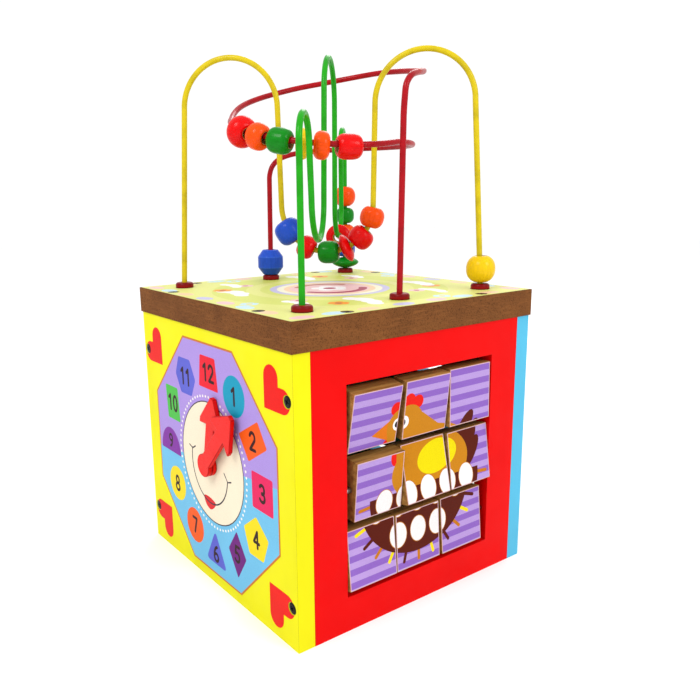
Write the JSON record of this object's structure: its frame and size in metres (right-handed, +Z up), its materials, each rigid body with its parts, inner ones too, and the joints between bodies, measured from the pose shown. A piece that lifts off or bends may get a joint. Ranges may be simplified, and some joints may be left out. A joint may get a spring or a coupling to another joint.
{
  "type": "baby activity cube",
  "caption": "Wooden activity cube: clock, turning picture blocks, sliders and gears on its sides, bead maze of bent wires on the lid.",
  "frame": {"origin": "middle of the flat base, at the bottom of the base board", "axes": "+Z up, -Y the clock side, +X the side with the turning picture blocks, +Y the slider side, -X the gear side"},
  "size_m": [0.2161, 0.2182, 0.3614],
  "materials": {
    "lid_mdf": "matt, bare fibreboard edge",
    "base_board": "matt",
    "yellow_panel": "satin paint on board",
    "red_panel": "satin paint on board",
    "blue_panel": "satin paint on board",
    "green_panel": "satin paint on board",
    "black_screw": "black oxide",
    "steel": "satin",
    "block_wood": "matt, sanded",
    "red_hand": "satin",
    "collar": "satin",
    "yellow_wire": "gloss coated",
    "green_wire": "gloss coated",
    "red_wire": "gloss coated",
    "red_bead": "satin lacquer",
    "orange_bead": "satin lacquer",
    "green_bead": "satin lacquer",
    "yellow_bead": "satin lacquer",
    "blue_bead": "satin lacquer",
    "plain_wood": "matt, sanded",
    "print": "satin printed art"
  },
  "bodies": {
    "cube": {"lid": "lid_mdf", "base_board": "base_board", "clock_panel": "yellow_panel", "window_panel": "red_panel", "slider_panel": "blue_panel", "gear_panel": "green_panel", "lid_screws": "black_screw", "panel_screws": "black_screw", "block_rods": "steel", "wire_collars": "collar", "yellow_wire": "yellow_wire", "green_wire": "green_wire", "red_wire": "red_wire", "gear_pegs": "plain_wood"},
    "block_1": {"block_1": "block_wood"},
    "block_2": {"block_2": "block_wood"},
    "block_3": {"block_3": "block_wood"},
    "block_4": {"block_4": "block_wood"},
    "block_5": {"block_5": "block_wood"},
    "block_6": {"block_6": "block_wood"},
    "block_7": {"block_7": "block_wood"},
    "block_8": {"block_8": "block_wood"},
    "block_9": {"block_9": "block_wood"},
    "hour_hand": {"hour_hand": "red_hand"},
    "minute_hand": {"minute_hand": "red_hand", "clock_pin": "steel", "pin_washer": "steel"},
    "strand_bead_1": {"strand_bead_1": "red_bead"},
    "strand_bead_2": {"strand_bead_2": "orange_bead"},
    "strand_bead_3": {"strand_bead_3": "green_bead"},
    "strand_bead_4": {"strand_bead_4": "yellow_bead"},
    "strand_bead_5": {"strand_bead_5": "orange_bead"},
    "strand_bead_6": {"strand_bead_6": "red_bead"},
    "dip_bead_1": {"dip_bead_1": "blue_bead"},
    "dip_bead_2": {"dip_bead_2": "red_bead"},
    "dip_bead_3": {"dip_bead_3": "green_bead"},
    "dip_bead_4": {"dip_bead_4": "red_bead"},
    "dip_bead_5": {"dip_bead_5": "red_bead"},
    "dip_bead_6": {"dip_bead_6": "orange_bead"},
    "stack_bead_1": {"stack_bead_1": "green_bead"},
    "stack_bead_2": {"stack_bead_2": "blue_bead"},
    "stack_bead_3": {"stack_bead_3": "orange_bead"},
    "stack_bead_4": {"stack_bead_4": "green_bead"},
    "stack_bead_5": {"stack_bead_5": "orange_bead"},
    "hoop_disc": {"hoop_disc": "red_bead"},
    "yellow_foot_bead": {"yellow_foot_bead": "yellow_bead"},
    "blue_foot_bead": {"blue_foot_bead": "blue_bead"},
    "slider_1": {"slider_1": "red_bead", "slider_1_washer": "plain_wood"},
    "slider_2": {"slider_2": "yellow_bead", "slider_2_washer": "plain_wood"},
    "slider_3": {"slider_3": "green_bead", "slider_3_washer": "plain_wood"},
    "gear_1": {"gear_1": "red_bead"},
    "gear_2": {"gear_2": "yellow_bead"},
    "gear_3": {"gear_3": "blue_bead"}
  },
  "joints": [
    {"name": "block_1_turn", "type": "hinge", "parent": "cube", "child": "block_1", "pos_m": [0.094, 0, 0.1348], "axis": [0, 1, 0], "continuous": true},
    {"name": "block_2_turn", "type": "hinge", "parent": "cube", "child": "block_2", "pos_m": [0.094, 0, 0.1348], "axis": [0, 1, 0], "continuous": true},
    {"name": "block_3_turn", "type": "hinge", "parent": "cube", "child": "block_3", "pos_m": [0.094, 0, 0.1348], "axis": [0, 1, 0], "continuous": true},
    {"name": "block_4_turn", "type": "hinge", "parent": "cube", "child": "block_4", "pos_m": [0.094, 0, 0.0904], "axis": [0, 1, 0], "continuous": true},
    {"name": "block_5_turn", "type": "hinge", "parent": "cube", "child": "block_5", "pos_m": [0.094, 0, 0.0904], "axis": [0, 1, 0], "continuous": true},
    {"name": "block_6_turn", "type": "hinge", "parent": "cube", "child": "block_6", "pos_m": [0.094, 0, 0.0904], "axis": [0, 1, 0], "continuous": true},
    {"name": "block_7_turn", "type": "hinge", "parent": "cube", "child": "block_7", "pos_m": [0.094, 0, 0.046], "axis": [0, 1, 0], "continuous": true},
    {"name": "block_8_turn", "type": "hinge", "parent": "cube", "child": "block_8", "pos_m": [0.094, 0, 0.046], "axis": [0, 1, 0], "continuous": true},
    {"name": "block_9_turn", "type": "hinge", "parent": "cube", "child": "block_9", "pos_m": [0.094, 0, 0.046], "axis": [0, 1, 0], "continuous": true},
    {"name": "hour_hand_turn", "type": "hinge", "parent": "cube", "child": "hour_hand", "pos_m": [0, -0.1, 0.09], "axis": [0, 1, 0], "continuous": true},
    {"name": "minute_hand_turn", "type": "hinge", "parent": "cube", "child": "minute_hand", "pos_m": [0, -0.1, 0.09], "axis": [0, 1, 0], "continuous": true},
    {"name": "strand_bead_3_slip", "type": "hinge", "parent": "cube", "child": "strand_bead_3", "pos_m": [-0.002, -0.002, 0.3118], "axis": [0.2429, -0.0789, 0.9668], "range_deg": [-6, 0]},
    {"name": "strand_bead_2_slip", "type": "hinge", "parent": "strand_bead_3", "child": "strand_bead_2", "pos_m": [-0.002, -0.002, 0.3118], "axis": [0.2429, -0.0789, 0.9668], "range_deg": [-6, 0]},
    {"name": "strand_bead_1_slip", "type": "hinge", "parent": "strand_bead_2", "child": "strand_bead_1", "pos_m": [-0.002, -0.002, 0.3118], "axis": [0.2429, -0.0789, 0.9668], "range_deg": [-5, 0]},
    {"name": "strand_bead_4_slip", "type": "hinge", "parent": "cube", "child": "strand_bead_4", "pos_m": [-0.002, -0.002, 0.3118], "axis": [0.2429, -0.0789, 0.9668], "range_deg": [0, 9]},
    {"name": "strand_bead_5_slip", "type": "hinge", "parent": "strand_bead_4", "child": "strand_bead_5", "pos_m": [-0.002, -0.002, 0.3118], "axis": [0.2429, -0.0789, 0.9668], "range_deg": [0, 9]},
    {"name": "strand_bead_6_slip", "type": "hinge", "parent": "strand_bead_5", "child": "strand_bead_6", "pos_m": [-0.002, -0.002, 0.3118], "axis": [0.2429, -0.0789, 0.9668], "range_deg": [0, 9]},
    {"name": "dip_bead_3_slip", "type": "hinge", "parent": "cube", "child": "dip_bead_3", "pos_m": [0, 0, 0.2588], "axis": [0.7071, -0.7071, 0], "range_deg": [-8, 8]},
    {"name": "dip_bead_2_slip", "type": "hinge", "parent": "dip_bead_3", "child": "dip_bead_2", "pos_m": [0, 0, 0.2588], "axis": [0.7071, -0.7071, 0], "range_deg": [-6, 0]},
    {"name": "dip_bead_1_slip", "type": "hinge", "parent": "dip_bead_2", "child": "dip_bead_1", "pos_m": [0, 0, 0.2588], "axis": [0.7071, -0.7071, 0], "range_deg": [-8, 0]},
    {"name": "dip_bead_4_slip", "type": "hinge", "parent": "dip_bead_3", "child": "dip_bead_4", "pos_m": [0, 0, 0.2588], "axis": [0.7071, -0.7071, 0], "range_deg": [0, 3]},
    {"name": "dip_bead_5_slip", "type": "hinge", "parent": "dip_bead_4", "child": "dip_bead_5", "pos_m": [0, 0, 0.2588], "axis": [0.7071, -0.7071, 0], "range_deg": [0, 3]},
    {"name": "dip_bead_6_slip", "type": "hinge", "parent": "dip_bead_5", "child": "dip_bead_6", "pos_m": [0, 0, 0.2588], "axis": [0.7071, -0.7071, 0], "range_deg": [0, 4]},
    {"name": "stack_bead_1_lift", "type": "slide", "parent": "cube", "child": "stack_bead_1", "axis": [0, 0, 1], "range_m": [0, 0.005]},
    {"name": "stack_bead_2_lift", "type": "slide", "parent": "stack_bead_1", "child": "stack_bead_2", "axis": [0, 0, 1], "range_m": [0, 0.005]},
    {"name": "stack_bead_3_lift", "type": "slide", "parent": "stack_bead_2", "child": "stack_bead_3", "axis": [0, 0, 1], "range_m": [0, 0.005]},
    {"name": "stack_bead_4_lift", "type": "slide", "parent": "stack_bead_3", "child": "stack_bead_4", "axis": [0, 0, 1], "range_m": [0, 0.005]},
    {"name": "stack_bead_5_lift", "type": "slide", "parent": "stack_bead_4", "child": "stack_bead_5", "axis": [0, 0, 1], "range_m": [0, 0.007]},
    {"name": "hoop_disc_slip", "type": "hinge", "parent": "cube", "child": "hoop_disc", "pos_m": [-0.04421, 0.04421, 0.2544], "axis": [0.7071, 0.7071, 0], "range_deg": [-40, 40]},
    {"name": "yellow_foot_bead_lift", "type": "slide", "parent": "cube", "child": "yellow_foot_bead", "axis": [-0.0401, -0.0401, 0.9984], "range_m": [0, 0.098]},
    {"name": "blue_foot_bead_lift", "type": "slide", "parent": "cube", "child": "blue_foot_bead", "axis": [0.0223, 0, 0.9998], "range_m": [0, 0.05]},
    {"name": "slider_1_travel", "type": "slide", "parent": "cube", "child": "slider_1", "axis": [1, 0, 0], "range_m": [-0.03, 0.12]},
    {"name": "slider_2_travel", "type": "slide", "parent": "cube", "child": "slider_2", "axis": [1, 0, 0], "range_m": [-0.095, 0.055]},
    {"name": "slider_3_travel", "type": "slide", "parent": "cube", "child": "slider_3", "axis": [1, 0, 0], "range_m": [-0.065, 0.085]},
    {"name": "gear_1_turn", "type": "hinge", "parent": "cube", "child": "gear_1", "pos_m": [-0.104, -0.042, 0.11], "axis": [1, 0, 0], "continuous": true},
    {"name": "gear_2_turn", "type": "hinge", "parent": "cube", "child": "gear_2", "pos_m": [-0.104, 0.00672, 0.06912], "axis": [1, 0, 0], "continuous": true},
    {"name": "gear_3_turn", "type": "hinge", "parent": "cube", "child": "gear_3", "pos_m": [-0.104, 0.04182, 0.11095], "axis": [1, 0, 0], "continuous": true}
  ],
  "couplings": [
    {"joint": "gear_2_turn", "follows": "gear_1_turn", "ratio": -1.3333},
    {"joint": "gear_3_turn", "follows": "gear_1_turn", "ratio": 1.3333}
  ]
}
